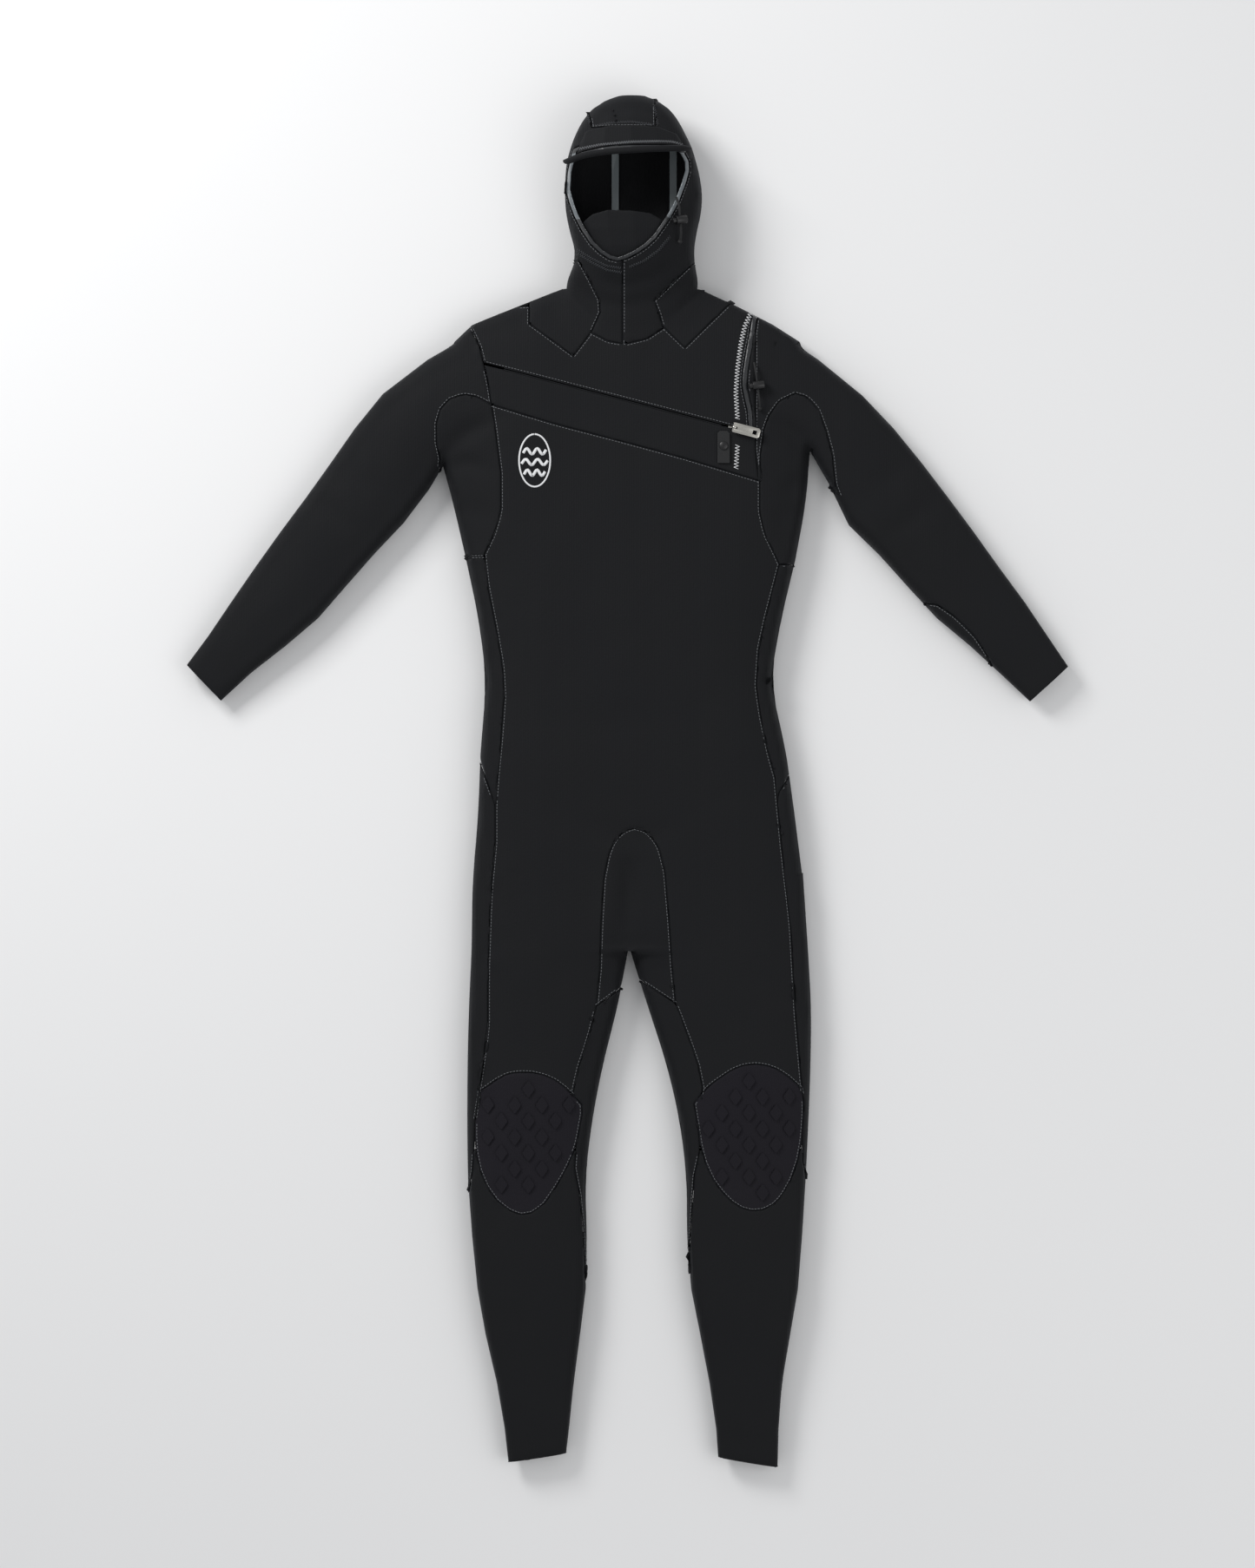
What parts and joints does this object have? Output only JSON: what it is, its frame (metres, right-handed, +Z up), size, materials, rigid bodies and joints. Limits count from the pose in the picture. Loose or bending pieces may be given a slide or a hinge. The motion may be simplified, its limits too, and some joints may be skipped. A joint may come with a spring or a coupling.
{
  "type": "full wetsuit",
  "caption": "Hooded full wetsuit with long sleeves and legs, a slanted chest zip under a placket, a peak over the face opening and padded knees, laid flat on its back.",
  "frame": {"origin": "middle of the suit's footprint, on the surface it lies on", "axes": "the suit lies flat on its back: +Y towards the hood's top, +X towards the wearer's left, +Z up out of the chest"},
  "size_m": [1.0798, 1.676, 0.1105],
  "materials": {
    "neoprene_jersey": "knitted nylon jersey bonded to neoprene foam, matt",
    "knee_neoprene": "hard-wearing jersey with raised moulded studs",
    "smooth_skin_neoprene": "smooth-skin neoprene, slight gloss",
    "seam_tape": "liquid seam tape, satin",
    "woven_polyester": "woven polyester webbing",
    "moulded_zip_teeth": "moulded acetal",
    "cast_zinc": "cast zinc, satin nickel plate",
    "moulded_acetal": "moulded acetal, fine grain",
    "spring_steel": "drawn stainless wire"
  },
  "bodies": {
    "suit": {"back_panel": "neoprene_jersey", "back_yoke": "neoprene_jersey", "calf_left": "neoprene_jersey", "calf_right": "neoprene_jersey", "chest_yoke": "neoprene_jersey", "chin_guard": "smooth_skin_neoprene", "collar_gore_left": "neoprene_jersey", "collar_gore_right": "neoprene_jersey", "crotch_gusset": "neoprene_jersey", "face_binding": "smooth_skin_neoprene", "forearm_inset_left": "neoprene_jersey", "forearm_inset_right": "neoprene_jersey", "front_panel": "neoprene_jersey", "hood_cord": "woven_polyester", "hood_crown": "neoprene_jersey", "hood_nape": "neoprene_jersey", "hood_side_left": "neoprene_jersey", "hood_side_right": "neoprene_jersey", "hood_tape_left": "seam_tape", "hood_tape_right": "seam_tape", "knee_pad_left": "knee_neoprene", "knee_pad_right": "knee_neoprene", "leg_inner_left": "neoprene_jersey", "leg_inner_right": "neoprene_jersey", "leg_side_left": "neoprene_jersey", "leg_side_right": "neoprene_jersey", "shin_left": "neoprene_jersey", "shin_right": "neoprene_jersey", "shoulder_cord": "woven_polyester", "side_panel_left": "neoprene_jersey", "side_panel_right": "neoprene_jersey", "sleeve_back_left": "neoprene_jersey", "sleeve_back_right": "neoprene_jersey", "sleeve_front_left": "neoprene_jersey", "sleeve_front_right": "neoprene_jersey", "snap_stud": "moulded_acetal", "thigh_back_left": "neoprene_jersey", "thigh_back_right": "neoprene_jersey", "underarm_gusset_left": "neoprene_jersey", "underarm_gusset_right": "neoprene_jersey", "yoke_edge_binding": "smooth_skin_neoprene", "zip_barrier": "neoprene_jersey", "zip_end_stop": "moulded_zip_teeth", "zip_placket": "neoprene_jersey", "zip_tape_lower": "woven_polyester", "zip_tape_upper": "woven_polyester", "zip_teeth_lower": "moulded_zip_teeth", "zip_teeth_upper": "moulded_zip_teeth"},
    "zip_slider": {"zip_slider": "cast_zinc"},
    "zip_pull": {"zip_pull": "cast_zinc"},
    "snap_tab": {"snap_tab": "woven_polyester", "snap_cap": "moulded_acetal"},
    "peak": {"peak": "neoprene_jersey", "peak_binding": "neoprene_jersey"},
    "shoulder_lock": {"shoulder_cord_lock_barrel": "moulded_acetal", "shoulder_cord_lock_spring": "spring_steel"},
    "shoulder_button": {"shoulder_cord_lock_plunger": "moulded_acetal"},
    "hood_lock": {"hood_cord_lock_barrel": "moulded_acetal", "hood_cord_lock_spring": "spring_steel"},
    "hood_button": {"hood_cord_lock_plunger": "moulded_acetal"}
  },
  "joints": [
    {"name": "zip_slide", "type": "slide", "parent": "suit", "child": "zip_slider", "axis": [-0.9686, 0.2486, 0], "range_m": [0, 0.258]},
    {"name": "pull_swing", "type": "hinge", "parent": "zip_slider", "child": "zip_pull", "pos_m": [0.13, 0.433, 0.05699], "axis": [-0.2486, -0.9686, 0], "range_deg": [0, 165]},
    {"name": "snap_tab_lift", "type": "hinge", "parent": "suit", "child": "snap_tab", "pos_m": [0.117, 0.387, 0.05322], "axis": [1, 0, 0], "range_deg": [0, 150]},
    {"name": "peak_lift", "type": "hinge", "parent": "suit", "child": "peak", "pos_m": [0, 0.792, 0.084], "axis": [-1, 0, 0], "range_deg": [0, 36]},
    {"name": "shoulder_lock_slide", "type": "slide", "parent": "suit", "child": "shoulder_lock", "axis": [0.124, -0.9923, 0.0054], "range_m": [-0.006, 0.006]},
    {"name": "shoulder_button_press", "type": "slide", "parent": "shoulder_lock", "child": "shoulder_button", "axis": [0.9886, 0.1231, -0.0866], "range_m": [0, 0.0025], "stiffness_N_per_m": 300, "springref_m": -0.001, "deforming": ["shoulder_cord_lock_spring"]},
    {"name": "hood_lock_slide", "type": "slide", "parent": "suit", "child": "hood_lock", "axis": [0.0747, -0.9712, -0.2262], "range_m": [-0.006, 0.006]},
    {"name": "hood_button_press", "type": "slide", "parent": "hood_lock", "child": "hood_button", "axis": [0.8845, 0.1693, -0.4348], "range_m": [0, 0.0025], "stiffness_N_per_m": 300, "springref_m": -0.001, "deforming": ["hood_cord_lock_spring"]}
  ]
}
